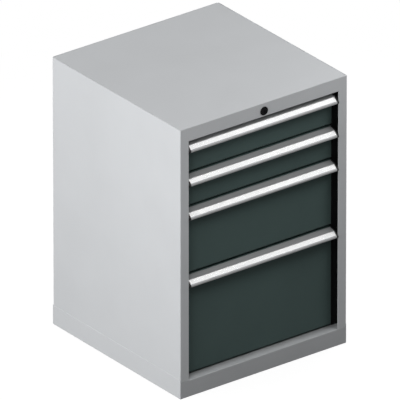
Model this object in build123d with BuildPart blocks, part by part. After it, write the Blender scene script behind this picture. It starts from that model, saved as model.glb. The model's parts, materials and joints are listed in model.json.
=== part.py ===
from build123d import *
import math
import os

os.makedirs("parts", exist_ok=True)

# A floor-standing steel cabinet with four drawers and a central lock. Sizes are in millimetres.
# X runs across, Y from front to back, Z up. The origin is on the floor, under the middle of the
# cabinet. A depth is a distance behind the front plane, where the frame's front faces lie.

# Overall size
WIDTH = 561  # over the base, side to side
DEPTH = 572  # over the handles and the base, front to back
HEIGHT = 800
DRAWER_HEIGHTS = (100, 100, 200, 300)  # from the top drawer down
GRID_STEP = 17  # the inside of a tray is a whole number of grid steps
GRID_COUNT = 27

# Sheet thicknesses
SHEET = 1.5
BASE_SHEET = 2
TRAY_SHEET = 1
OVER = 1  # reach of a cut past the sheet that it cuts

# Casing
HANDLE_PROUD = 3  # reach of the handles in front of the front plane
FRONT = HANDLE_PROUD - DEPTH / 2  # y of the front plane
BACK = DEPTH / 2  # outer face of the base's back
BODY_BACK = BACK - BASE_SHEET + SHEET  # the back panel stands on the base's back
SIDE_INSIDE = WIDTH / 2 - BASE_SHEET
SIDE = SIDE_INSIDE + SHEET  # the side panels stand on the base's sides
STILE = 28  # width of the frame beside the opening
OPENING = SIDE - STILE  # half the width of the opening
HEM = 12  # folded-back edge of a stile
REAR_FLANGE = 20
TOP_RAIL = 40
RAIL_DEPTH = 24
RAIL_LIP = 8
PAN_LIP = 7  # turned-down edge of the top panel
BOTTOM_LIP = 12
BEND = 2.5  # outer radius of a fold
INNER_BEND = 1

# Base
BASE_FRONT = 50  # height of the base in front, up to the ledge
BASE_SIDE = 58  # height of the base at the sides and the back
LEDGE = 45  # depth of the ledge
BASE_FLANGE = 40
BASE_ROUND = 1.4  # rounding of the base's outer edges
FLANGE_FOOT = 22  # lower end of the sides' rear flanges, inside the base
ANCHOR_R = 5.5
ANCHOR_SPAN = (520, 490)  # between the floor anchors, across and along

# Uprights behind the frame, with a slot every 25 mm for the hooks of the rails
UPRIGHT_WIDTH = 34
FRONT_UPRIGHT = 30  # depth of the front uprights
REAR_UPRIGHT = 470
UPRIGHT_TOP = 757
SLOT_PITCH = 25
SLOT_SIZE = (6, 12)
SLOT_INSET = 7
HOOK_SIZE = (5, 10)
HOOK_REACH = 4

# Rails of a drawer: distance of each layer from the middle of the cabinet
TRAY_SIDE = GRID_STEP * GRID_COUNT / 2 + TRAY_SHEET
MID_RAIL = (240, 242)
RAIL_FLANGE = 8.5
RAIL_FOOT = 12  # height of the rails over the bottom of the drawer's slot
RAIL_HEIGHT = 26
RAIL_MARGIN = 1  # the middle rails are that much lower at both edges
RAIL_START = 44
CABINET_RAIL = 500
MIDDLE_RAIL = 480
ROLLER_R = 11.2
ROLLER_WIDTH = 5
ROLLER_GAP = 0.4
AXLE_R = 3
AXLE_HEAD_R = 4.4
AXLE_HEAD = 0.8
INNER_ROLLERS = (20, 190)  # distances from the front end of the middle rail
OUTER_ROLLERS = (260, 462)

# Drawers
FRONT_FACE = 28  # depth of the drawer fronts' faces
FRONT_SIDE = 250  # half the width of a drawer front
FRONT_PAN = 14
FRONT_GAP = (5, 3)  # below and above a front, in its slot
TRAY_GAP = (10, 14)
TRAY_CORNER = 3
TRAY_HEM = (2.5, 2)

# Handle, as depth and height below the top of the drawer's slot
HANDLE_END = 245  # half the length of the profile, without its end caps
HANDLE_BACK = (28, -2)
HANDLE_BROW = (10, -6.5)
HANDLE_WALL = 3.2
HANDLE_PLATE = 2
HANDLE_FOOT = -34
HANDLE_EDGE = 0.8  # rounding of the hook's lower end
NOSE_R = 4.2
HOOK_LENGTH = 5.2  # from the nose's corner down its back
LABEL_WIDTH = 13.5
LABEL_LIP = 0.7
LABEL_SHEET = 0.3
COVER_SHEET = 0.9
COVER_GAP = 0.1  # between the label and its cover
LABEL_GROOVE = LABEL_SHEET + COVER_GAP + COVER_SHEET  # depth of the groove that holds both

# Lock
LOCK_DROP = 23  # the lock's axis lies that much below the cabinet's top
LOCK_Z = HEIGHT - LOCK_DROP
ROSETTE_R = 12.5
ROSETTE = 2
LOCK_BODY_R = 9
LOCK_COLLAR_R = 10.5
LOCK_BACK = 24
PLUG_R = 6
PLUG_CLEARANCE = 0.05
PLUG_END = 0.2  # gap between the plug's shoulder and the cam
SHANK_R = 4
SHANK_END = 1  # reach of the shank behind the cam
KEYWAY = (7.8, 1.8, 9)
CAM_FRONT = 24.6
CAM_SHEET = 2.5
CAM_REACH = 10
CAM_EDGE = 3  # sheet around the shank
PIN_R = 2
PIN_EDGE = 2.5
LIFT = CAM_REACH * math.sin(math.radians(45))  # the pin's height over the lock's axis, at rest
ARM_DEPTH = (29, 31)
ARM_HEIGHT = 14
ARM_START = 1
ARM_SLOT = (8.4, 5.2)
BAR_X = (257, 271)
BAR_DEPTH = (46.5, 49.5)
BAR_FOOT = 100
BRACKET = 2
PEG_R = 3
PEG_REACH = 11.5
PEG_Z = 63  # height of a peg over the bottom of the drawer's slot, unlocked
CATCH = (40, 57)  # heights of a front's catch over the bottom of its slot
CATCH_END = 60
NOTCH_DEPTH = (43, 53)
NOTCH_FLOOR = 44.4
WINDOW_MARGIN = 1.5
LOCK_TRAVEL = 2 * LIFT
GUIDE_HEIGHTS = (735, 500, 250)
GUIDE_SIZE = 20
GUIDE_MARGIN = 4.5
GUIDE_GAP = 0.3

# Screws of the back panel
SCREW_R = 2
SCREW_HOLE_R = 2.1
SCREW_HEAD_R = 3.6
SCREW_GAP = 0.1
SCREW_DOME = 0.4
COUNTERSINK = 45
SCREW_LENGTH = 8
SCREW_X = 268
SCREW_ROWS = 5
SCREW_PITCH = 160
SCREW_MIDDLE = 425


def depth(distance):
    """The y of a point at this distance behind the front plane."""
    return FRONT + distance


def block(x, y, z, mode=Mode.ADD):
    """A box between two values on each axis, in the part that is being built."""
    with Locations(((x[0] + x[1]) / 2, (y[0] + y[1]) / 2, (z[0] + z[1]) / 2)):
        Box(x[1] - x[0], y[1] - y[0], z[1] - z[0], mode=mode)


def finish(piece, name):
    """Label a finished piece and write it as a file of its own."""
    piece.part.label = name
    export_step(piece.part, f"parts/{name}.step")


def other_side(piece):
    """The same piece for the left side of the cabinet."""
    with BuildPart() as copy:
        add(piece.part.mirror(Plane.YZ))
    return copy


def drawer_slots():
    """Bottom and top of each drawer's slot in the opening, from the top drawer down."""
    slots = []
    top = BASE_FRONT + sum(DRAWER_HEIGHTS)
    for height in DRAWER_HEIGHTS:
        slots.append((top - height, top))
        top -= height
    return slots


# Casing

def make_side_panel():
    """Right side: stile with a folded-back edge, side wall and rear flange, one bent sheet."""
    back = BODY_BACK - SHEET
    stile_back = depth(SHEET)
    with BuildPart() as panel:
        with BuildSketch(Plane.XY.offset(FLANGE_FOOT)) as plan:
            with BuildLine():
                Polyline(
                    (OPENING, FRONT),
                    (SIDE, FRONT),
                    (SIDE, back),
                    (SIDE - REAR_FLANGE, back),
                    (SIDE - REAR_FLANGE, back - SHEET),
                    (SIDE_INSIDE, back - SHEET),
                    (SIDE_INSIDE, stile_back),
                    (OPENING + HEM, stile_back),
                    (OPENING + HEM, depth(2 * SHEET)),
                    (OPENING, depth(2 * SHEET)),
                    close=True,
                )
            make_face()
            corners = plan.vertices()
            fillet([v for v in corners if math.isclose(v.X, SIDE)], BEND)
            fillet([v for v in corners if math.isclose(v.X, SIDE_INSIDE)], INNER_BEND)
            fillet([v for v in corners if math.isclose(v.X, OPENING)], 0.9 * SHEET)
        extrude(amount=HEIGHT - FLANGE_FOOT)
        # The side wall stands on the base's side, and the stile on the ledge
        block((SIDE_INSIDE, WIDTH), (FRONT - OVER, BACK), (0, BASE_SIDE), Mode.SUBTRACT)
        stile_foot = (FRONT - OVER, depth(LEDGE + 2 * SHEET))
        block((0, WIDTH), stile_foot, (0, BASE_FRONT), Mode.SUBTRACT)
        # The top panel fills the top between the sides
        top = (HEIGHT - PAN_LIP - 2 * SHEET, HEIGHT + OVER)
        block((0, OPENING + HEM + OVER), (stile_back, depth(3 * SHEET)), top, Mode.SUBTRACT)
        block((0, SIDE_INSIDE), (back - 2 * SHEET, BACK), top, Mode.SUBTRACT)
        with BuildSketch(screw_plane()):
            with screw_places():
                Circle(SCREW_HOLE_R)
        extrude(amount=-3 * SHEET, mode=Mode.SUBTRACT)
    return panel


def screw_plane():
    """The outer face of the back panel, looking forward."""
    return Plane(origin=(0, BODY_BACK, SCREW_MIDDLE), x_dir=(1, 0, 0), z_dir=(0, 1, 0))


def screw_places():
    """Two rows of screws, one in each rear flange."""
    return GridLocations(2 * SCREW_X, SCREW_PITCH, 2, SCREW_ROWS)


def make_pan(x, y, top, lip, fold):
    """A sheet with its four edges turned down."""
    with BuildPart() as pan:
        block(x, y, (top - lip, top))
        fillet(pan.edges().filter_by(Axis.Z), 2 * SHEET)
        fillet(pan.faces().sort_by(Axis.Z)[-1].edges(), fold)
        with BuildSketch(Plane.XY.offset(top - lip)):
            with Locations(((x[0] + x[1]) / 2, (y[0] + y[1]) / 2)):
                RectangleRounded(x[1] - x[0] - 2 * SHEET, y[1] - y[0] - 2 * SHEET, SHEET)
        extrude(amount=lip - SHEET, mode=Mode.SUBTRACT)
    return pan


side_panel_right = make_side_panel()
side_panel_left = other_side(side_panel_right)
finish(side_panel_right, "side_panel_right")
finish(side_panel_left, "side_panel_left")

with BuildPart() as back_panel:
    reach = SIDE - BEND - SHEET
    block((-reach, reach), (BODY_BACK - SHEET, BODY_BACK), (BASE_SIDE, HEIGHT))
    with BuildSketch(screw_plane()):
        with screw_places():
            Circle(SCREW_HEAD_R + SCREW_GAP)
    extrude(amount=-SHEET, taper=COUNTERSINK, mode=Mode.SUBTRACT)
finish(back_panel, "back_panel")

with BuildPart() as back_screws:
    with BuildSketch(screw_plane()):
        with screw_places():
            Circle(SCREW_HEAD_R)
    extrude(amount=-SHEET, taper=COUNTERSINK)
    with BuildSketch(screw_plane()):
        with screw_places():
            Circle(SCREW_HEAD_R)
    extrude(amount=SCREW_DOME)
    fillet(back_screws.faces().group_by(Axis.Y)[-1].edges(), 0.8 * SCREW_DOME)
    with BuildSketch(screw_plane()):
        with screw_places():
            Circle(SCREW_R)
    extrude(amount=-SCREW_LENGTH)
finish(back_screws, "back_screws")

top_panel = make_pan(
    (-SIDE_INSIDE, SIDE_INSIDE), (depth(SHEET), BODY_BACK - SHEET), HEIGHT, PAN_LIP, 1.2 * SHEET
)
finish(top_panel, "top_panel")

with BuildPart() as front_top_rail:
    rail_foot = HEIGHT - TOP_RAIL
    with BuildSketch(Plane.YZ.offset(-OPENING)) as top_section:
        with BuildLine():
            Polyline(
                (FRONT, HEIGHT),
                (FRONT, rail_foot),
                (depth(RAIL_DEPTH), rail_foot),
                (depth(RAIL_DEPTH), rail_foot + RAIL_LIP),
                (depth(RAIL_DEPTH - SHEET), rail_foot + RAIL_LIP),
                (depth(RAIL_DEPTH - SHEET), rail_foot + SHEET),
                (depth(SHEET), rail_foot + SHEET),
                (depth(SHEET), HEIGHT),
                close=True,
            )
        make_face()
        fillet([v for v in top_section.vertices() if math.isclose(v.Y, rail_foot)], BEND)
        fillet([v for v in top_section.vertices() if math.isclose(v.Y, rail_foot + SHEET)], INNER_BEND)
    extrude(amount=2 * OPENING)
    with BuildSketch(Plane.XZ.offset(-FRONT)):
        with Locations((0, LOCK_Z)):
            Circle(LOCK_BODY_R)
    extrude(amount=-SHEET, mode=Mode.SUBTRACT)
finish(front_top_rail, "front_top_rail")

bottom_panel = make_pan(
    (-SIDE_INSIDE, SIDE_INSIDE),
    (depth(BASE_SHEET), BODY_BACK - 2 * SHEET),
    BASE_FRONT - BASE_SHEET,
    BOTTOM_LIP,
    SHEET,
)
finish(bottom_panel, "bottom_panel")


# Base

flange_end = WIDTH / 2 - BASE_FLANGE  # inner edge of the side rails' flanges

with BuildPart() as base_front_rail:
    with BuildSketch(Plane.YZ.offset(-SIDE_INSIDE)) as front_section:
        with BuildLine():
            Polyline(
                (FRONT, 0),
                (FRONT, BASE_FRONT),
                (depth(LEDGE), BASE_FRONT),
                (depth(LEDGE), BASE_FRONT - BASE_SHEET),
                (depth(BASE_SHEET), BASE_FRONT - BASE_SHEET),
                (depth(BASE_SHEET), BASE_SHEET),
                (depth(BASE_FLANGE), BASE_SHEET),
                (depth(BASE_FLANGE), 0),
                close=True,
            )
        make_face()
        fillet([v for v in front_section.vertices() if math.isclose(v.X, FRONT)], BEND)
    extrude(amount=2 * SIDE_INSIDE)
    # The flanges of the side rails fill the corners
    for side in (-1, 1):
        outer = sorted((side * flange_end, side * WIDTH))
        inner_flange = (depth(BASE_SHEET), depth(BASE_FLANGE + OVER))
        block(outer, inner_flange, (-OVER, BASE_SHEET), Mode.SUBTRACT)
finish(base_front_rail, "base_front_rail")

with BuildPart() as base_back_rail:
    with BuildSketch(Plane.YZ.offset(-SIDE_INSIDE)) as back_section:
        with BuildLine():
            Polyline(
                (BACK, 0),
                (BACK, BASE_SIDE),
                (BACK - BASE_SHEET, BASE_SIDE),
                (BACK - BASE_SHEET, BASE_SHEET),
                (BACK - BASE_FLANGE, BASE_SHEET),
                (BACK - BASE_FLANGE, 0),
                close=True,
            )
        make_face()
        outer_corners = back_section.vertices().group_by(Axis.X)[-1].sort_by(Axis.Y)
        fillet(outer_corners[0], BEND)
        fillet(outer_corners[-1], BASE_ROUND)
    extrude(amount=2 * SIDE_INSIDE)
    for side in (-1, 1):
        outer = sorted((side * flange_end, side * WIDTH))
        inner_flange = (BACK - BASE_FLANGE - OVER, BACK - BASE_SHEET)
        block(outer, inner_flange, (-OVER, BASE_SHEET), Mode.SUBTRACT)
finish(base_back_rail, "base_back_rail")

with BuildPart() as base_side_rail_right:
    with BuildSketch(Plane.XZ.offset(-FRONT)) as side_section:
        with BuildLine():
            Polyline(
                (flange_end, 0),
                (WIDTH / 2, 0),
                (WIDTH / 2, BASE_SIDE),
                (SIDE_INSIDE, BASE_SIDE),
                (SIDE_INSIDE, BASE_SHEET),
                (flange_end, BASE_SHEET),
                close=True,
            )
        make_face()
        fillet(side_section.vertices().group_by(Axis.X)[-1].sort_by(Axis.Y)[0], BEND)
    extrude(amount=FRONT - BACK)
    outer_edges = base_side_rail_right.edges().group_by(Axis.X)[-1]
    fillet([*outer_edges.filter_by(Axis.Z), outer_edges.sort_by(Axis.Z)[-1]], BASE_ROUND)
    for end in ((FRONT - OVER, depth(BASE_SHEET)), (BACK - BASE_SHEET, BACK + OVER)):
        block((0, SIDE_INSIDE), end, (-OVER, BASE_SHEET + OVER), Mode.SUBTRACT)
    # Holes for the floor anchors
    with BuildSketch(Plane.XY):
        with Locations((ANCHOR_SPAN[0] / 2, (FRONT + BACK) / 2)):
            with GridLocations(0, ANCHOR_SPAN[1], 1, 2):
                Circle(ANCHOR_R)
    extrude(amount=BASE_SHEET, mode=Mode.SUBTRACT)
base_side_rail_left = other_side(base_side_rail_right)
finish(base_side_rail_right, "base_side_rail_right")
finish(base_side_rail_left, "base_side_rail_left")


# Uprights and their rails

def make_upright(start, foot, windows):
    """Right upright: a channel that opens towards the side panel, with slots for the rails."""
    end = start + UPRIGHT_WIDTH
    with BuildPart() as upright:
        with BuildSketch(Plane.XY.offset(foot)) as plan:
            with BuildLine():
                Polyline(
                    (SIDE_INSIDE, depth(start)),
                    (OPENING, depth(start)),
                    (OPENING, depth(end)),
                    (SIDE_INSIDE, depth(end)),
                    (SIDE_INSIDE, depth(end - SHEET)),
                    (OPENING + SHEET, depth(end - SHEET)),
                    (OPENING + SHEET, depth(start + SHEET)),
                    (SIDE_INSIDE, depth(start + SHEET)),
                    close=True,
                )
            make_face()
            fillet([v for v in plan.vertices() if math.isclose(v.X, OPENING)], BEND)
            fillet([v for v in plan.vertices() if math.isclose(v.X, OPENING + SHEET)], INNER_BEND)
        extrude(amount=UPRIGHT_TOP - foot)
        slots = int((UPRIGHT_TOP - BASE_FRONT) // SLOT_PITCH)
        middle = BASE_FRONT + SLOT_PITCH * (slots + 1) / 2
        with BuildSketch(Plane.YZ.offset(OPENING)):
            with Locations((depth(end - SLOT_INSET), middle)):
                with GridLocations(0, SLOT_PITCH, 1, slots):
                    Rectangle(*SLOT_SIZE)
        extrude(amount=SHEET, mode=Mode.SUBTRACT)
        # Windows that the pegs of the lock bar reach through
        if windows:
            with BuildSketch(Plane.YZ.offset(OPENING)):
                for bottom, _ in drawer_slots():
                    with Locations((depth(sum(BAR_DEPTH) / 2), bottom + PEG_Z - LOCK_TRAVEL / 2)):
                        wide = 2 * (PEG_R + WINDOW_MARGIN)
                        Rectangle(wide, wide + LOCK_TRAVEL)
            extrude(amount=SHEET, mode=Mode.SUBTRACT)
    return upright


upright_front_right = make_upright(FRONT_UPRIGHT, BASE_FRONT, windows=True)
upright_front_left = other_side(upright_front_right)
upright_rear_right = make_upright(REAR_UPRIGHT, BASE_FRONT - BASE_SHEET, windows=False)
upright_rear_left = other_side(upright_rear_right)
finish(upright_front_right, "upright_front_right")
finish(upright_front_left, "upright_front_left")
finish(upright_rear_right, "upright_rear_right")
finish(upright_rear_left, "upright_rear_left")


def rail_section(web, lip, bottom):
    """A C-shaped rail's corner points: web and lip are distances from the cabinet's middle."""
    inside = web + math.copysign(SHEET, lip - web)
    low = bottom + RAIL_FOOT
    high = low + RAIL_HEIGHT
    return [
        (web, low),
        (lip, low),
        (lip, low + SHEET),
        (inside, low + SHEET),
        (inside, high - SHEET),
        (lip, high - SHEET),
        (lip, high),
        (web, high),
    ]


def make_cabinet_rails(bottom):
    """Outer rails of one drawer, hooked in the uprights on both sides."""
    with BuildPart() as rails:
        with BuildSketch(Plane.XZ.offset(-depth(RAIL_START))):
            with BuildLine():
                Polyline(*rail_section(OPENING, OPENING - RAIL_FLANGE, bottom), close=True)
            make_face()
        extrude(amount=-CABINET_RAIL)
        with BuildSketch(Plane.YZ.offset(OPENING)):
            for start in (FRONT_UPRIGHT, REAR_UPRIGHT):
                hook = depth(start + UPRIGHT_WIDTH - SLOT_INSET)
                with Locations((hook, bottom + RAIL_FOOT + RAIL_HEIGHT / 2)):
                    Rectangle(*HOOK_SIZE)
        extrude(amount=HOOK_REACH)
        mirror(about=Plane.YZ)
    return rails


def make_drawer_rails(bottom):
    """Inner rails of one drawer, on both sides of its tray."""
    length = 2 * (TRAY_SIDE - TRAY_SHEET) + FRONT_FACE + SHEET - RAIL_START + TRAY_SHEET
    with BuildPart() as rails:
        with BuildSketch(Plane.XZ.offset(-depth(RAIL_START))):
            with BuildLine():
                Polyline(*rail_section(TRAY_SIDE, TRAY_SIDE + RAIL_FLANGE, bottom), close=True)
            make_face()
        extrude(amount=-length)
        mirror(about=Plane.YZ)
    return rails


def roller_planes():
    """Each roller's centre distance behind the rail's start, and the face and way it sits on."""
    inner = [(place, MID_RAIL[0], -1) for place in INNER_ROLLERS]
    outer = [(place, MID_RAIL[1], 1) for place in OUTER_ROLLERS]
    return inner + outer


def make_middle_rails(bottom):
    """Middle rails: a flat bar with two riveted axles on each face, on both sides."""
    middle = bottom + RAIL_FOOT + RAIL_HEIGHT / 2
    with BuildPart() as rails:
        block(
            MID_RAIL,
            (depth(RAIL_START), depth(RAIL_START + MIDDLE_RAIL)),
            (middle - RAIL_HEIGHT / 2 + RAIL_MARGIN, middle + RAIL_HEIGHT / 2 - RAIL_MARGIN),
        )
        for place, face, way in roller_planes():
            head = face + way * (ROLLER_GAP + ROLLER_WIDTH + ROLLER_GAP / 2)
            with BuildSketch(Plane.YZ.offset(face)):
                with Locations((depth(RAIL_START + place), middle)):
                    Circle(AXLE_R)
            extrude(amount=head - face)
            with BuildSketch(Plane.YZ.offset(head)):
                with Locations((depth(RAIL_START + place), middle)):
                    Circle(AXLE_HEAD_R)
            extrude(amount=way * AXLE_HEAD)
        mirror(about=Plane.YZ)
    return rails


def make_middle_rollers(bottom):
    """The rollers on the middle rails' axles."""
    middle = bottom + RAIL_FOOT + RAIL_HEIGHT / 2
    with BuildPart() as rollers:
        for place, face, way in roller_planes():
            with BuildSketch(Plane.YZ.offset(face + way * ROLLER_GAP)):
                with Locations((depth(RAIL_START + place), middle)):
                    Circle(ROLLER_R)
                    Circle(AXLE_R + PLUG_CLEARANCE, mode=Mode.SUBTRACT)
            extrude(amount=way * ROLLER_WIDTH)
        rims = rollers.edges().filter_by(GeomType.CIRCLE).group_by(SortBy.RADIUS)[-1]
        chamfer(rims, 0.1 * ROLLER_WIDTH)
        mirror(about=Plane.YZ)
    return rollers


# Drawers

def make_front(bottom, top):
    """A drawer front: a folded pan, with a catch for the lock peg behind each side."""
    face = (bottom + FRONT_GAP[0], top - FRONT_GAP[1])
    back = FRONT_FACE + FRONT_PAN
    with BuildPart() as front:
        block((-FRONT_SIDE, FRONT_SIDE), (depth(FRONT_FACE), depth(back)), face)
        fillet(front.faces().sort_by(Axis.Y)[0].edges(), BEND)
        inside = FRONT_SIDE - SHEET
        block(
            (-inside, inside),
            (depth(FRONT_FACE + SHEET), depth(back + OVER)),
            (face[0] + SHEET, face[1] - SHEET),
            Mode.SUBTRACT,
        )
        block(
            (inside, FRONT_SIDE),
            (depth(back), depth(CATCH_END)),
            (bottom + CATCH[0], bottom + CATCH[1]),
        )
        block(
            (inside, FRONT_SIDE),
            (depth(NOTCH_DEPTH[0]), depth(NOTCH_DEPTH[1])),
            (bottom + NOTCH_FLOOR, bottom + CATCH[1]),
            Mode.SUBTRACT,
        )
        mirror(about=Plane.YZ)
    return front


def make_tray(bottom, top):
    """A drawer's tray, open at the top, with a folded rim along its sides."""
    inside = TRAY_SIDE - TRAY_SHEET
    start = FRONT_FACE + SHEET
    end = start + 2 * TRAY_SIDE
    floor, rim = bottom + TRAY_GAP[0], top - TRAY_GAP[1]
    with BuildPart() as tray:
        with BuildSketch(Plane.XY.offset(floor)):
            with Locations((0, depth((start + end) / 2))):
                RectangleRounded(2 * TRAY_SIDE, 2 * TRAY_SIDE, TRAY_CORNER)
        extrude(amount=rim - floor)
        for side in (-1, 1):
            hem = sorted((side * TRAY_SIDE, side * (TRAY_SIDE + TRAY_HEM[0])))
            along = (depth(start + TRAY_CORNER), depth(end - TRAY_CORNER))
            block(hem, along, (rim - TRAY_HEM[1], rim))
        with BuildSketch(Plane.XY.offset(floor + TRAY_SHEET)):
            with Locations((0, depth((start + end) / 2))):
                RectangleRounded(2 * inside, 2 * inside, TRAY_CORNER - TRAY_SHEET)
        extrude(amount=rim - floor, mode=Mode.SUBTRACT)
    return tray


def handle_hook():
    """Outer corners of the handle's hook: brow, nose before it is rounded, and lower end."""
    reach = HANDLE_BROW[0] + HANDLE_PROUD + NOSE_R * (math.sqrt(2) - 1)
    nose = (HANDLE_BROW[0] - reach, HANDLE_BROW[1] - reach)
    fall = HOOK_LENGTH * math.sqrt(0.5)
    return HANDLE_BROW, nose, (nose[0] + fall, nose[1] - fall)


def handle_point(point, top):
    """A point of the handle's section, as y and z."""
    return depth(point[0]), top + point[1]


def corners_at(section, top, *points):
    """The corners of a handle's section that lie at these points."""
    places = [handle_point(point, top) for point in points]
    return [v for v in section.vertices() if any(math.dist((v.X, v.Y), at) < OVER / 10 for at in places)]


def sloped_strip(low, thick, top):
    """Corners of a strip in the label's groove, from a depth under the sloped face outwards."""
    slope = math.sqrt(0.5)
    corners = []
    for along, under in (
        (LABEL_LIP, low),
        (LABEL_LIP + LABEL_WIDTH, low),
        (LABEL_LIP + LABEL_WIDTH, low - thick),
        (LABEL_LIP, low - thick),
    ):
        corner = (
            HANDLE_BROW[0] - slope * along + slope * under,
            HANDLE_BROW[1] - slope * along - slope * under,
        )
        corners.append(handle_point(corner, top))
    return corners


def make_handle(top):
    """A handle: back plate, gently falling top, sloped face with a groove for the label."""
    brow, nose, end = handle_hook()
    wall = HANDLE_WALL * math.sqrt(0.5)
    inner_nose = (nose[0] + 2 * wall, nose[1])
    plate = HANDLE_BACK[0] - HANDLE_PLATE
    outline = [
        HANDLE_BACK,
        brow,
        nose,
        end,
        (end[0] + wall, end[1] + wall),
        inner_nose,
        (brow[0] + wall, brow[1] - wall),
        (plate, HANDLE_BACK[1] - HANDLE_WALL),
        (plate, HANDLE_FOOT),
        (HANDLE_BACK[0], HANDLE_FOOT),
    ]
    with BuildPart() as handle:
        with BuildSketch(Plane.YZ.offset(-HANDLE_END)) as section:
            with BuildLine():
                Polyline(*[handle_point(point, top) for point in outline], close=True)
            make_face()
            fillet(corners_at(section, top, nose), NOSE_R)
            fillet(corners_at(section, top, inner_nose), NOSE_R - HANDLE_WALL)
            fillet(corners_at(section, top, end, (end[0] + wall, end[1] + wall)), HANDLE_EDGE)
            with BuildLine():
                Polyline(*sloped_strip(LABEL_GROOVE, LABEL_GROOVE + OVER, top), close=True)
            make_face(mode=Mode.SUBTRACT)
        extrude(amount=2 * HANDLE_END)
    return handle


def make_handle_caps(top):
    """End caps that close the handle's profile at both ends."""
    outline = [HANDLE_BACK, *handle_hook(), (HANDLE_BACK[0], HANDLE_FOOT)]
    with BuildPart() as caps:
        with BuildSketch(Plane.YZ.offset(HANDLE_END)) as section:
            with BuildLine():
                Polyline(*[handle_point(point, top) for point in outline], close=True)
            make_face()
            fillet(corners_at(section, top, handle_hook()[1]), NOSE_R)
            fillet(corners_at(section, top, handle_hook()[2]), HANDLE_EDGE)
        extrude(amount=FRONT_SIDE - HANDLE_END)
        mirror(about=Plane.YZ)
    return caps


def make_strip(low, thick, top):
    """A strip in the groove of the handle: the label, or the cover over it."""
    with BuildPart() as strip:
        with BuildSketch(Plane.YZ.offset(-HANDLE_END)):
            with BuildLine():
                Polyline(*sloped_strip(low, thick, top), close=True)
            make_face()
        extrude(amount=2 * HANDLE_END)
    return strip


for number, (slot_bottom, slot_top) in enumerate(drawer_slots(), start=1):
    finish(make_cabinet_rails(slot_bottom), f"cabinet_rails_{number}")
    finish(make_middle_rails(slot_bottom), f"middle_rails_{number}")
    finish(make_middle_rollers(slot_bottom), f"middle_rollers_{number}")
    finish(make_drawer_rails(slot_bottom), f"drawer_rails_{number}")
    finish(make_tray(slot_bottom, slot_top), f"drawer_tray_{number}")
    finish(make_front(slot_bottom, slot_top), f"drawer_front_{number}")
    finish(make_handle(slot_top), f"handle_{number}")
    finish(make_handle_caps(slot_top), f"handle_caps_{number}")
    finish(make_strip(LABEL_GROOVE, LABEL_SHEET, slot_top), f"label_strip_{number}")
    finish(make_strip(COVER_SHEET, COVER_SHEET, slot_top), f"label_cover_{number}")


# Lock: a quarter turn of the key moves the bar down, and its pegs drop into the fronts' catches

with BuildPart() as lock_housing:
    with BuildSketch(Plane.XZ.offset(-FRONT)):
        with Locations((0, LOCK_Z)):
            Circle(ROSETTE_R)
    extrude(amount=ROSETTE)
    fillet(lock_housing.faces().sort_by(Axis.Y)[0].edges(), 0.6 * ROSETTE)
    with BuildSketch(Plane.XZ.offset(-FRONT)):
        with Locations((0, LOCK_Z)):
            Circle(LOCK_BODY_R)
    extrude(amount=-LOCK_BACK)
    with BuildSketch(Plane.XZ.offset(-depth(SHEET))):
        with Locations((0, LOCK_Z)):
            Circle(LOCK_COLLAR_R)
    extrude(amount=-BASE_SHEET)
    with BuildSketch(Plane.XZ.offset(-FRONT + ROSETTE)):
        with Locations((0, LOCK_Z)):
            Circle(PLUG_R + PLUG_CLEARANCE)
    extrude(amount=-ROSETTE - LOCK_BACK, mode=Mode.SUBTRACT)
finish(lock_housing, "lock_housing")

with BuildPart() as lock_cylinder:
    plug_front = -0.6 * ROSETTE
    with BuildSketch(Plane.XZ.offset(-depth(plug_front))):
        with Locations((0, LOCK_Z)):
            Circle(PLUG_R)
    extrude(amount=plug_front - CAM_FRONT + PLUG_END)
    with BuildSketch(Plane.XZ.offset(-depth(CAM_FRONT - PLUG_END))):
        with Locations((0, LOCK_Z)):
            Circle(SHANK_R)
    extrude(amount=-PLUG_END - CAM_SHEET - SHANK_END)
    # Keyway
    with BuildSketch(Plane.XZ.offset(-depth(plug_front))):
        with Locations((0, LOCK_Z)):
            SlotOverall(KEYWAY[0], KEYWAY[1], rotation=90)
    extrude(amount=-KEYWAY[2], mode=Mode.SUBTRACT)
finish(lock_cylinder, "lock_cylinder")

with BuildPart() as lock_cam:
    with BuildSketch(Plane.XZ.offset(-depth(CAM_FRONT))) as cam_plan:
        with Locations((0, LOCK_Z)):
            Circle(SHANK_R + CAM_EDGE)
        with Locations((LIFT, LOCK_Z + LIFT)):
            Circle(PIN_R + PIN_EDGE)
        make_hull()
        with Locations((0, LOCK_Z)):
            Circle(SHANK_R + PLUG_CLEARANCE, mode=Mode.SUBTRACT)
    extrude(amount=-CAM_SHEET)
    with BuildSketch(Plane.XZ.offset(-depth(CAM_FRONT + CAM_SHEET))):
        with Locations((LIFT, LOCK_Z + LIFT)):
            Circle(PIN_R)
    extrude(amount=CAM_FRONT + CAM_SHEET - ARM_DEPTH[1] - PIN_R)
finish(lock_cam, "lock_cam")

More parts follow.
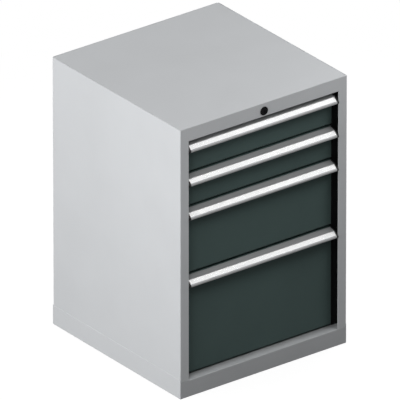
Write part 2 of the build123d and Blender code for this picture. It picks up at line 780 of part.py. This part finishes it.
with BuildPart() as lock_bar:
    arm_z = LOCK_Z + LIFT
    arm_range = (arm_z - ARM_HEIGHT / 2, arm_z + ARM_HEIGHT / 2)
    block((ARM_START, BAR_X[1]), (depth(ARM_DEPTH[0]), depth(ARM_DEPTH[1])), arm_range)
    with BuildSketch(Plane.XZ.offset(-depth(ARM_DEPTH[0]))):
        with Locations(((LIFT + CAM_REACH) / 2, arm_z)):
            SlotOverall(*ARM_SLOT)
    extrude(amount=ARM_DEPTH[0] - ARM_DEPTH[1], mode=Mode.SUBTRACT)
    block((BAR_X[1] - BRACKET, BAR_X[1]), (depth(ARM_DEPTH[0]), depth(BAR_DEPTH[1])), arm_range)
    block(BAR_X, (depth(BAR_DEPTH[0]), depth(BAR_DEPTH[1])), (BAR_FOOT, arm_range[1]))
    with BuildSketch(Plane.YZ.offset(BAR_X[0] + BRACKET)):
        for slot_bottom, _ in drawer_slots():
            with Locations((depth(sum(BAR_DEPTH) / 2), slot_bottom + PEG_Z)):
                Circle(PEG_R)
    extrude(amount=-PEG_REACH - BRACKET)
finish(lock_bar, "lock_bar")

with BuildPart() as lock_bar_guides:
    guide_depth = (depth(BAR_DEPTH[0] - GUIDE_MARGIN), depth(BAR_DEPTH[1] + GUIDE_MARGIN))
    for height in GUIDE_HEIGHTS:
        guide_z = (height - GUIDE_SIZE / 2, height + GUIDE_SIZE / 2)
        block((OPENING + SHEET, SIDE_INSIDE), guide_depth, guide_z)
        block(
            (BAR_X[0] - GUIDE_GAP, BAR_X[1] + GUIDE_GAP),
            (depth(BAR_DEPTH[0] - GUIDE_GAP), depth(BAR_DEPTH[1] + GUIDE_GAP)),
            guide_z,
            Mode.SUBTRACT,
        )
finish(lock_bar_guides, "lock_bar_guides")
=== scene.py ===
"""Looks of a four-drawer steel cabinet: powder coat, slotted trays, label handles and lock."""
import json
import math

import bmesh
import bpy
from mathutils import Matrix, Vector


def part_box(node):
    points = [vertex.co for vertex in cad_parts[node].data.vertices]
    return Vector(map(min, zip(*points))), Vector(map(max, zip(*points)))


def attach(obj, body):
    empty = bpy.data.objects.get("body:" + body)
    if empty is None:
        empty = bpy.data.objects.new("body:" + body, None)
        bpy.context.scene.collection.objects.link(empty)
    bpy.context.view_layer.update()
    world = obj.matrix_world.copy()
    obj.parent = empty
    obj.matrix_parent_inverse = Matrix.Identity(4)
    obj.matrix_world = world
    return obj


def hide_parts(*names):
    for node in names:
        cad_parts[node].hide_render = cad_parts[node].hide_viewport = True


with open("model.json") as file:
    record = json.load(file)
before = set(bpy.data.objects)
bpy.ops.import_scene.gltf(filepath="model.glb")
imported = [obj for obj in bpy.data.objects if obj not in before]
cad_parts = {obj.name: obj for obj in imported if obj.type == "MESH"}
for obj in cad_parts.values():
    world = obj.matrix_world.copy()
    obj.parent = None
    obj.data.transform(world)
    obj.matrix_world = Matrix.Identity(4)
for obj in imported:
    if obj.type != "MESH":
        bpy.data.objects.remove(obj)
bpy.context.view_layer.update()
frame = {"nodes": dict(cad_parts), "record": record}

MM = 0.001

# The photograph's view: a long lens, far away, onto the left, the front and the top
AZIMUTH = math.radians(37.258)  # the camera stands this far to the left of straight ahead
ELEVATION = math.radians(26.247)
VIEW_WIDTH = 1.0698  # metres across the picture, at the cabinet
LENS = 1600
SENSOR = 36
# The picture's middle, from the foot of the left front corner, along the picture's own axes
MIDDLE_RIGHT = 0.0523
MIDDLE_UP = 0.5345


# Node helpers for the materials

def start_material(name, colour, roughness, metallic=0.0):
    """A material with its shader's own colour and roughness, and the object's coordinates."""
    material = bpy.data.materials.new(name)
    material.use_nodes = True
    tree = material.node_tree
    shader = tree.nodes["Principled BSDF"]
    shader.inputs["Base Color"].default_value = (*colour, 1)
    shader.inputs["Roughness"].default_value = roughness
    shader.inputs["Metallic"].default_value = metallic
    place = tree.nodes.new("ShaderNodeTexCoord").outputs["Object"]
    return material, tree, shader, place


def grain(tree, place, size, detail, stretch=(1, 1, 1)):
    """Soft noise whose spots have this size in metres, drawn out along an axis by stretch."""
    mapping = tree.nodes.new("ShaderNodeMapping")
    mapping.inputs["Scale"].default_value = [1 / s for s in stretch]
    noise = tree.nodes.new("ShaderNodeTexNoise")
    noise.inputs["Scale"].default_value = 1 / size
    noise.inputs["Detail"].default_value = detail
    tree.links.new(place, mapping.inputs["Vector"])
    tree.links.new(mapping.outputs["Vector"], noise.inputs["Vector"])
    return noise.outputs["Fac"]


def spread(tree, value, low, high, start=0.3, end=0.7):
    """The value's range from start to end, laid over low to high."""
    node = tree.nodes.new("ShaderNodeMapRange")
    node.inputs["From Min"].default_value = start
    node.inputs["From Max"].default_value = end
    node.inputs["To Min"].default_value = low
    node.inputs["To Max"].default_value = high
    tree.links.new(value, node.inputs["Value"])
    return node.outputs["Result"]


def blend_colour(tree, share, first, second):
    """A colour between two, by a share from 0 to 1. Each is a colour or an output."""
    node = tree.nodes.new("ShaderNodeMix")
    node.data_type = "RGBA"
    tree.links.new(share, node.inputs["Factor"])
    for socket, colour in ((node.inputs["A"], first), (node.inputs["B"], second)):
        if isinstance(colour, tuple):
            socket.default_value = (*colour, 1)
        else:
            tree.links.new(colour, socket)
    return node.outputs["Result"]


def shade(colour, factor):
    """The colour, lighter or darker."""
    return tuple(factor * channel for channel in colour)


def texture_surface(tree, shader, height, depth):
    """Bumps of this depth in metres."""
    bump = tree.nodes.new("ShaderNodeBump")
    bump.inputs["Distance"].default_value = depth
    tree.links.new(height, bump.inputs["Height"])
    tree.links.new(bump.outputs["Normal"], shader.inputs["Normal"])


# Finishes. Sizes are those of the spots, lines or waves, and depths are those of the bumps

PAINT_CLOUDS = 160 * MM
PAINT_SPECKLE = 1.6 * MM
PAINT_PEEL = 2.2 * MM
PAINT_PEEL_DEPTH = 0.03 * MM
PAINT_DRIFT = 0.05  # how far the paint's roughness strays to either side

DRAWN_LINES = 0.6 * MM
DRAWN_DEPTH = 0.006 * MM
DRAWN_PATCHES = 50 * MM

CARD_FIBRES = 1.5 * MM
CARD_WAVES = 40 * MM
CARD_DEPTH = 0.02 * MM
CARD_COAT_IOR = 1.54
CARD_COAT_ROUGHNESS = 0.12

COVER_ALPHA = 0.05
COVER_WAVES = 30 * MM
COVER_DEPTH = 0.01 * MM

MOULD_GRAIN = 0.7 * MM
MOULD_DEPTH = 0.02 * MM
MOULD_CLOUDS = 20 * MM
MOULD_DRIFT = 0.06

ZINC_BLOOM = 18 * MM
ZINC_LINES = 0.8 * MM
ZINC_DEPTH = 0.02 * MM
ZINC_TINT = (1, 1.02, 1.06)  # the bloom's colour, against the metal's own


def powder_coat(name, colour, roughness, gloss, cloud=0.02):
    """Baked powder paint: fine orange peel, faint clouds and slightly uneven gloss."""
    material, tree, shader, place = start_material(name, colour, roughness)
    shader.inputs["Specular IOR Level"].default_value = gloss
    clouds = grain(tree, place, PAINT_CLOUDS, 3)
    speckle = grain(tree, place, PAINT_SPECKLE, 1)
    toned = blend_colour(
        tree, spread(tree, clouds, 0, 1), shade(colour, 1 - cloud), shade(colour, 1 + cloud)
    )
    lighter = shade(colour, 1 + 2 * cloud)
    speckled = blend_colour(tree, spread(tree, speckle, 0, 0.5, start=0.45, end=0.8), toned, lighter)
    tree.links.new(speckled, shader.inputs["Base Color"])
    uneven = spread(tree, clouds, roughness - PAINT_DRIFT, roughness + PAINT_DRIFT)
    tree.links.new(uneven, shader.inputs["Roughness"])
    texture_surface(tree, shader, grain(tree, place, PAINT_PEEL, 2), PAINT_PEEL_DEPTH)
    return material


def drawn_aluminium():
    """Satin anodised profile, with the fine lines of the die along its length."""
    colour = (0.36, 0.365, 0.37)
    material, tree, shader, place = start_material("handle_aluminium", colour, 0.46, 0.2)
    shader.inputs["Specular IOR Level"].default_value = 0.1
    lines = grain(tree, place, DRAWN_LINES, 2, stretch=(400, 1, 1))
    patches = grain(tree, place, DRAWN_PATCHES, 2, stretch=(6, 1, 1))
    toned = blend_colour(tree, spread(tree, lines, 0, 1), shade(colour, 0.9), shade(colour, 1.08))
    tree.links.new(toned, shader.inputs["Base Color"])
    tree.links.new(spread(tree, patches, 0.4, 0.48), shader.inputs["Roughness"])
    texture_surface(tree, shader, lines, DRAWN_DEPTH)
    return material


def label_card():
    """Blank white card with a glossy coat."""
    colour = (0.93, 0.935, 0.935)
    material, tree, shader, place = start_material("label_white", colour, 0.4)
    shader.inputs["Coat Weight"].default_value = 1.0
    shader.inputs["Coat Roughness"].default_value = CARD_COAT_ROUGHNESS
    shader.inputs["Coat IOR"].default_value = CARD_COAT_IOR
    fibres = grain(tree, place, CARD_FIBRES, 4)
    toned = blend_colour(tree, spread(tree, fibres, 0, 1), shade(colour, 0.985), colour)
    tree.links.new(toned, shader.inputs["Base Color"])
    waves = grain(tree, place, CARD_WAVES, 1, stretch=(4, 1, 1))
    tree.links.new(spread(tree, waves, 0.36, 0.44), shader.inputs["Roughness"])
    texture_surface(tree, shader, waves, CARD_DEPTH)
    return material


def clear_cover():
    """Clear plastic strip over the label."""
    material, tree, shader, place = start_material("clear_plastic", (0.96, 0.97, 0.97), 0.12)
    shader.inputs["Alpha"].default_value = COVER_ALPHA
    waves = grain(tree, place, COVER_WAVES, 1, stretch=(6, 1, 1))
    tree.links.new(spread(tree, waves, 0.08, 0.16), shader.inputs["Roughness"])
    texture_surface(tree, shader, waves, COVER_DEPTH)
    return material


def moulded_plastic(name, colour, roughness, gloss=0.5):
    """Moulded plastic with a fine spark-eroded grain."""
    material, tree, shader, place = start_material(name, colour, roughness)
    shader.inputs["Specular IOR Level"].default_value = gloss
    texture = grain(tree, place, MOULD_GRAIN, 3)
    uneven = spread(tree, texture, roughness - MOULD_DRIFT, roughness + MOULD_DRIFT)
    tree.links.new(uneven, shader.inputs["Roughness"])
    clouds = grain(tree, place, MOULD_CLOUDS, 2)
    toned = blend_colour(tree, spread(tree, clouds, 0, 1), shade(colour, 0.9), shade(colour, 1.1))
    tree.links.new(toned, shader.inputs["Base Color"])
    texture_surface(tree, shader, texture, MOULD_DEPTH)
    return material


def zinc_plate(name, colour, roughness=0.34):
    """Plated metal: long faint rolling lines and a soft bluish bloom."""
    material, tree, shader, place = start_material(name, colour, roughness, 1.0)
    bloom = grain(tree, place, ZINC_BLOOM, 4)
    lines = grain(tree, place, ZINC_LINES, 2, stretch=(1, 60, 1))
    bluish = tuple(channel * tint for channel, tint in zip(colour, ZINC_TINT))
    tinted = blend_colour(tree, spread(tree, bloom, 0, 1), shade(colour, 0.86), bluish)
    tree.links.new(tinted, shader.inputs["Base Color"])
    uneven = spread(tree, bloom, roughness - 0.08, roughness + 0.1)
    tree.links.new(uneven, shader.inputs["Roughness"])
    texture_surface(tree, shader, lines, ZINC_DEPTH)
    return material


finishes = {
    "casing_paint": powder_coat("casing_paint", (0.605, 0.619, 0.635), 0.52, 0.1),
    "drawer_paint": powder_coat("drawer_paint", (0.08, 0.118, 0.113), 0.46, 0.05, cloud=0.05),
    "tray_paint": powder_coat("tray_paint", (0.5, 0.51, 0.52), 0.5, 0.25),
    # Nearly black paint for the uprights. It is partly their own paint and partly painted shade:
    # their black stands in for the shade in the gaps beside the drawer fronts
    "frame_paint": powder_coat("frame_paint", (0.006, 0.006, 0.0065), 0.5, 0.05, cloud=0.06),
    "handle_aluminium": drawn_aluminium(),
    "label_white": label_card(),
    "clear_plastic": clear_cover(),
    "black_plastic": moulded_plastic("black_plastic", (0.012, 0.012, 0.013), 0.5, 0.2),
    "rail_steel": zinc_plate("rail_steel", (0.55, 0.56, 0.57)),
    "roller_nylon": moulded_plastic("roller_nylon", (0.62, 0.61, 0.57), 0.4),
    "screw_steel": zinc_plate("screw_steel", (0.55, 0.55, 0.55), 0.3),
    "lock_black": moulded_plastic("lock_black", (0.004, 0.004, 0.0045), 0.36, 0.05),
    "lock_metal": zinc_plate("lock_metal", (0.007, 0.007, 0.0075), 0.32),
}


# The base's front rail, with painted shade that darkens it towards the back of its ledge, under the
# lowest drawer

# The painted shade's colour, blended over the casing's paint
LEDGE_SHADE = (0.06, 0.062, 0.06)
LEDGE_SHADE_SHARE = 0.72  # painted shade at the back of the ledge
FACE_SHADE_SHARE = 0.13  # painted shade on the rail's face and the ledge's front edge
LEDGE_SHADE_START = 8 * MM  # behind the front
LEDGE_SHADE_END = 36 * MM
LEDGE_SHADE_SPOTS = 30 * MM
LEDGE_SHADE_STRAY = 2 * MM  # how far the painted shade's edge strays to either side


def shade_ledge():
    """The casing's paint with painted shade on the ledge under the lowest drawer, darkest at its
    back.
    """
    material = finishes["casing_paint"].copy()
    material.name = "shaded_casing_paint"
    tree = material.node_tree
    shader = tree.nodes["Principled BSDF"]
    unshaded = shader.inputs["Base Color"].links[0].from_socket
    place = tree.nodes.new("ShaderNodeTexCoord").outputs["Object"]
    axes = tree.nodes.new("ShaderNodeSeparateXYZ")
    tree.links.new(place, axes.inputs["Vector"])
    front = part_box("base_front_rail")[0][1]
    ragged = tree.nodes.new("ShaderNodeMath")
    ragged.operation = "ADD"
    tree.links.new(axes.outputs["Y"], ragged.inputs[0])
    spots = grain(tree, place, LEDGE_SHADE_SPOTS, 3)
    tree.links.new(spread(tree, spots, -LEDGE_SHADE_STRAY, LEDGE_SHADE_STRAY), ragged.inputs[1])
    start, end = front + LEDGE_SHADE_START, front + LEDGE_SHADE_END
    # Painted shade: the face's share in front, rising to the full share towards the back of the
    # ledge, along a ragged edge
    share = spread(tree, ragged.outputs["Value"], FACE_SHADE_SHARE, LEDGE_SHADE_SHARE, start, end)
    tree.links.new(blend_colour(tree, share, unshaded, LEDGE_SHADE), shader.inputs["Base Color"])
    return material


slot_of = {row["node"]: row["material_slot"] for row in frame["record"]["subparts"]}
for node, piece in frame["nodes"].items():
    piece.data.materials.clear()
    piece.data.materials.append(finishes[slot_of[node]])
# The base's front rail takes the casing paint with painted shade on its ledge and face
frame["nodes"]["base_front_rail"].data.materials[0] = shade_ledge()


# Trays of perforated sheet, a slot for the partitions in every step of the grid

GRID_COUNT = 27
SLOT_MARGIN = 7.2 * MM  # sheet left round a slot, to the edges of its field
FIELD_HEIGHT = 40 * MM  # about one slot's field in a tray's walls
TRAY_SHEET = 1 * MM
TRAY_CORNER = 3 * MM
TRAY_CORNER_STEPS = 3
TRAY_HEM = (2.5 * MM, 2 * MM)  # out and down
EQUAL_TRAYS = ((1, 2), (3,), (4,))  # drawers whose trays have the same height
SAME_PLACE = 0.01 * MM  # points nearer to each other than this are one
SMOOTH_ANGLE = math.radians(35)


def edit_alone(piece):
    """Edit mode with only this piece selected, and nothing selected in it."""
    bpy.ops.object.select_all(action="DESELECT")
    bpy.context.view_layer.objects.active = piece
    piece.select_set(True)
    bpy.ops.object.mode_set(mode="EDIT")
    bpy.ops.mesh.select_all(action="DESELECT")


def select_edges(piece, wanted):
    """Selects the edges in edit mode whose two ends are both wanted."""
    bpy.ops.mesh.select_mode(type="EDGE")
    mesh = bmesh.from_edit_mesh(piece.data)
    for edge in mesh.edges:
        edge.select = all(wanted(vertex.co) for vertex in edge.verts)
    mesh.select_flush_mode()
    bmesh.update_edit_mesh(piece.data)


def near(value, target):
    """Whether two coordinates are the same, but for rounding."""
    return abs(value - target) < SAME_PLACE


def slotted_sheet(width, height, columns, rows):
    """A flat sheet of fields, each with an open slot in its middle."""
    bpy.ops.mesh.primitive_grid_add(x_subdivisions=columns, y_subdivisions=rows, size=1)
    sheet = bpy.context.object
    edit_alone(sheet)
    bpy.ops.mesh.select_all(action="SELECT")
    bpy.ops.transform.resize(value=(width, height, 1))
    bpy.ops.mesh.inset(thickness=SLOT_MARGIN, use_individual=True)
    bpy.ops.mesh.delete(type="FACE")
    bpy.ops.object.mode_set(mode="OBJECT")
    return sheet


def set_down(piece, place, turn):
    """Turns a piece and puts it in its place, with both applied to its mesh."""
    piece.rotation_euler = [math.radians(angle) for angle in turn]
    piece.location = place
    bpy.ops.object.select_all(action="DESELECT")
    piece.select_set(True)
    bpy.ops.object.transform_apply(location=True, rotation=True, scale=True)


def join_pieces(name, pieces):
    """One object of this name, made of all the pieces."""
    bpy.ops.object.select_all(action="DESELECT")
    for piece in pieces:
        piece.select_set(True)
    bpy.context.view_layer.objects.active = pieces[0]
    bpy.ops.object.join()
    whole = bpy.context.object
    whole.name = name
    whole.data.name = name
    return whole


def finish_piece(piece, body, slot, *nodes):
    """Smooth faces, finish, body and the CAD node that the piece stands for."""
    bpy.ops.object.select_all(action="DESELECT")
    bpy.context.view_layer.objects.active = piece
    piece.select_set(True)
    bpy.ops.object.shade_smooth_by_angle(angle=SMOOTH_ANGLE)
    piece.data.materials.clear()
    piece.data.materials.append(finishes[slot])
    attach(piece, body)
    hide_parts(*nodes)


def fold_tray(name, low, high):
    """Slotted walls and floor, folded into a tray whose side rims turn outwards and down."""
    side = high.x - TRAY_HEM[0]
    middle = (low + high) / 2
    length, height = high.y - low.y, high.z - low.z
    rows = round(height / FIELD_HEIGHT)
    floor = slotted_sheet(2 * side, length, GRID_COUNT, GRID_COUNT)
    set_down(floor, (0, middle.y, low.z), (180, 0, 0))
    sheets = [floor]
    for y, turn in ((low.y, 0), (high.y, 180)):
        wall = slotted_sheet(2 * side, height, GRID_COUNT, rows)
        set_down(wall, (0, y, middle.z), (90, 0, turn))
        sheets.append(wall)
    for x, turn in ((-side, -90), (side, 90)):
        wall = slotted_sheet(length, height, GRID_COUNT, rows)
        set_down(wall, (x, middle.y, middle.z), (90, 0, turn))
        sheets.append(wall)
    tray = join_pieces(name, sheets)
    edit_alone(tray)
    bpy.ops.mesh.select_all(action="SELECT")
    bpy.ops.mesh.remove_doubles(threshold=SAME_PLACE)
    # Round the upright corners
    select_edges(tray, lambda co: near(abs(co.x), side) and (near(co.y, low.y) or near(co.y, high.y)))
    bpy.ops.mesh.bevel(offset=TRAY_CORNER, segments=TRAY_CORNER_STEPS)
    # The rims at both sides, folded out and down
    hem_width, hem_drop = TRAY_HEM
    for sign in (-1, 1):
        select_edges(tray, lambda co: near(co.x, sign * side) and near(co.z, high.z))
        bpy.ops.mesh.extrude_edges_move(TRANSFORM_OT_translate={"value": (sign * hem_width, 0, 0)})
        bpy.ops.mesh.extrude_edges_move(TRANSFORM_OT_translate={"value": (0, 0, -hem_drop)})
    bpy.ops.object.mode_set(mode="OBJECT")
    thickness = tray.modifiers.new("sheet", "SOLIDIFY")
    thickness.thickness = TRAY_SHEET
    thickness.offset = -1
    bpy.ops.object.modifier_apply(modifier="sheet")
    edit_alone(tray)
    bpy.ops.mesh.select_all(action="SELECT")
    bpy.ops.mesh.normals_make_consistent(inside=False)
    bpy.ops.object.mode_set(mode="OBJECT")
    return tray


def copy_tray(tray, name, rise):
    """The same tray again with a mesh of its own, higher or lower."""
    bpy.ops.object.select_all(action="DESELECT")
    bpy.context.view_layer.objects.active = tray
    tray.select_set(True)
    bpy.ops.object.duplicate(linked=False)
    twin = bpy.context.object
    twin.name = name
    twin.data.name = name
    set_down(twin, (0, 0, rise), (0, 0, 0))
    return twin


for first, *others in EQUAL_TRAYS:
    low, high = (Vector(corner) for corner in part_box(f"drawer_tray_{first}"))
    trays = {first: fold_tray(f"slotted_tray_{first}", low, high)}
    for number in others:
        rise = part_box(f"drawer_tray_{number}")[0][2] - low.z
        trays[number] = copy_tray(trays[first], f"slotted_tray_{number}", rise)
    for number, tray in trays.items():
        finish_piece(tray, f"drawer_{number}", "tray_paint", f"drawer_tray_{number}")


# Floor, lamps, world and camera

FLOOR_SIZE = 16
FLOOR_GREY = (0.2, 0.2, 0.2)  # the floor's own colour, which takes the shadow
FLOOR_GLOW = 0.87  # added where the floor is seen, up to about white
SHADOW_REACH = 0.9  # from the cabinet's middle, as far as the shadow shows in full
WHITE_FROM = 1.8  # from there on the floor is plain white
WORLD_FILL = 0.05

# Each lamp's place, the point that it faces, its width and height, and its power
SOFT_BOXES = {
    "left_box": ((-3.2, 0.1, 1.1), (-0.28, 0, 0.5), 2.8, 2.8, 93),
    "right_box": ((3.2, 0.4, 1.1), (0.28, 0, 0.5), 2.8, 2.8, 100),
    "front_box": ((0.87, -0.99, 1.68), (0, -0.28, 0.54), 0.75, 0.65, 8.7),
    "fill_box": ((-1.6, -1.3, 1.75), (-0.05, -0.28, 0.6), 0.9, 0.9, 15.5),
    "back_box": ((-0.3, 1.9, 2.3), (0, 0.1, 0.8), 1.2, 1.2, 17),
}


def seen_directly(tree):
    """1 for rays from the camera, and through gloss and glass, and 0 for those that light."""
    path = tree.nodes.new("ShaderNodeLightPath")
    first = tree.nodes.new("ShaderNodeMath")
    first.operation = "MAXIMUM"
    tree.links.new(path.outputs["Is Camera Ray"], first.inputs[0])
    tree.links.new(path.outputs["Is Glossy Ray"], first.inputs[1])
    second = tree.nodes.new("ShaderNodeMath")
    second.operation = "MAXIMUM"
    tree.links.new(first.outputs[0], second.inputs[0])
    tree.links.new(path.outputs["Is Transmission Ray"], second.inputs[1])
    return second.outputs[0]


def floor_finish():
    """White round the cabinet, where its soft shadow stays, and plain white further out."""
    material = bpy.data.materials.new("floor_white")
    material.use_nodes = True
    tree = material.node_tree
    tree.nodes.clear()
    pale = tree.nodes.new("ShaderNodeBsdfDiffuse")
    pale.inputs["Color"].default_value = (*FLOOR_GREY, 1)
    glow = tree.nodes.new("ShaderNodeEmission")
    glow.inputs["Strength"].default_value = FLOOR_GLOW
    shadowed = tree.nodes.new("ShaderNodeAddShader")
    tree.links.new(pale.outputs[0], shadowed.inputs[0])
    tree.links.new(glow.outputs[0], shadowed.inputs[1])
    white = tree.nodes.new("ShaderNodeEmission")
    white.inputs["Strength"].default_value = 1.0
    distance = tree.nodes.new("ShaderNodeVectorMath")
    distance.operation = "LENGTH"
    tree.links.new(tree.nodes.new("ShaderNodeTexCoord").outputs["Object"], distance.inputs[0])
    far = spread(tree, distance.outputs["Value"], 0, 1, SHADOW_REACH, WHITE_FROM)
    seen = tree.nodes.new("ShaderNodeMixShader")
    tree.links.new(far, seen.inputs["Fac"])
    tree.links.new(shadowed.outputs[0], seen.inputs[1])
    tree.links.new(white.outputs[0], seen.inputs[2])
    whole = tree.nodes.new("ShaderNodeMixShader")
    tree.links.new(seen_directly(tree), whole.inputs["Fac"])
    tree.links.new(pale.outputs[0], whole.inputs[1])
    tree.links.new(seen.outputs[0], whole.inputs[2])
    output = tree.nodes.new("ShaderNodeOutputMaterial")
    tree.links.new(whole.outputs[0], output.inputs["Surface"])
    return material


def lay_floor():
    """The floor that the cabinet stands on."""
    bpy.ops.mesh.primitive_plane_add(size=FLOOR_SIZE, location=(0, 0, 0))
    floor = bpy.context.object
    floor.name = "floor"
    floor.data.materials.append(floor_finish())


def light_world():
    """White where it is seen, and a dim even fill for the surfaces."""
    world = bpy.data.worlds.new("studio")
    bpy.context.scene.world = world
    world.use_nodes = True
    tree = world.node_tree
    background = tree.nodes["Background"]
    background.inputs["Color"].default_value = (1, 1, 1, 1)
    level = spread(tree, seen_directly(tree), WORLD_FILL, 1, start=0, end=1)
    tree.links.new(level, background.inputs["Strength"])


def soft_box(name, place, aim, width, height, power):
    """A large rectangular lamp that faces a point."""
    lamp = bpy.data.lights.new(name, "AREA")
    lamp.shape = "RECTANGLE"
    lamp.size = width
    lamp.size_y = height
    lamp.energy = power
    piece = bpy.data.objects.new(name, lamp)
    bpy.context.scene.collection.objects.link(piece)
    piece.location = place
    piece.rotation_euler = (Vector(aim) - Vector(place)).to_track_quat("-Z", "Y").to_euler()


def set_camera():
    """The photograph's view, aimed from the foot of the left front corner."""
    corner = Vector((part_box("side_panel_left")[0][0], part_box("base_front_rail")[0][1], 0))
    sin_a, cos_a = math.sin(AZIMUTH), math.cos(AZIMUTH)
    sin_e, cos_e = math.sin(ELEVATION), math.cos(ELEVATION)
    right = Vector((cos_a, -sin_a, 0))
    up = Vector((sin_a * sin_e, cos_a * sin_e, cos_e))
    forward = Vector((sin_a * cos_e, cos_a * cos_e, -sin_e))
    middle = corner + MIDDLE_RIGHT * right + MIDDLE_UP * up
    distance = VIEW_WIDTH * LENS / SENSOR
    data = bpy.data.cameras.new("camera")
    data.lens = LENS
    data.sensor_width = SENSOR
    data.clip_start = 1
    data.clip_end = 2 * distance
    camera = bpy.data.objects.new("camera", data)
    bpy.context.scene.collection.objects.link(camera)
    camera.location = middle - distance * forward
    camera.rotation_euler = forward.to_track_quat("-Z", "Y").to_euler()
    bpy.context.scene.camera = camera


lay_floor()
light_world()
for name, (place, aim, width, height, power) in SOFT_BOXES.items():
    soft_box(name, place, aim, width, height, power)
set_camera()
bpy.context.scene.view_settings.view_transform = "Standard"
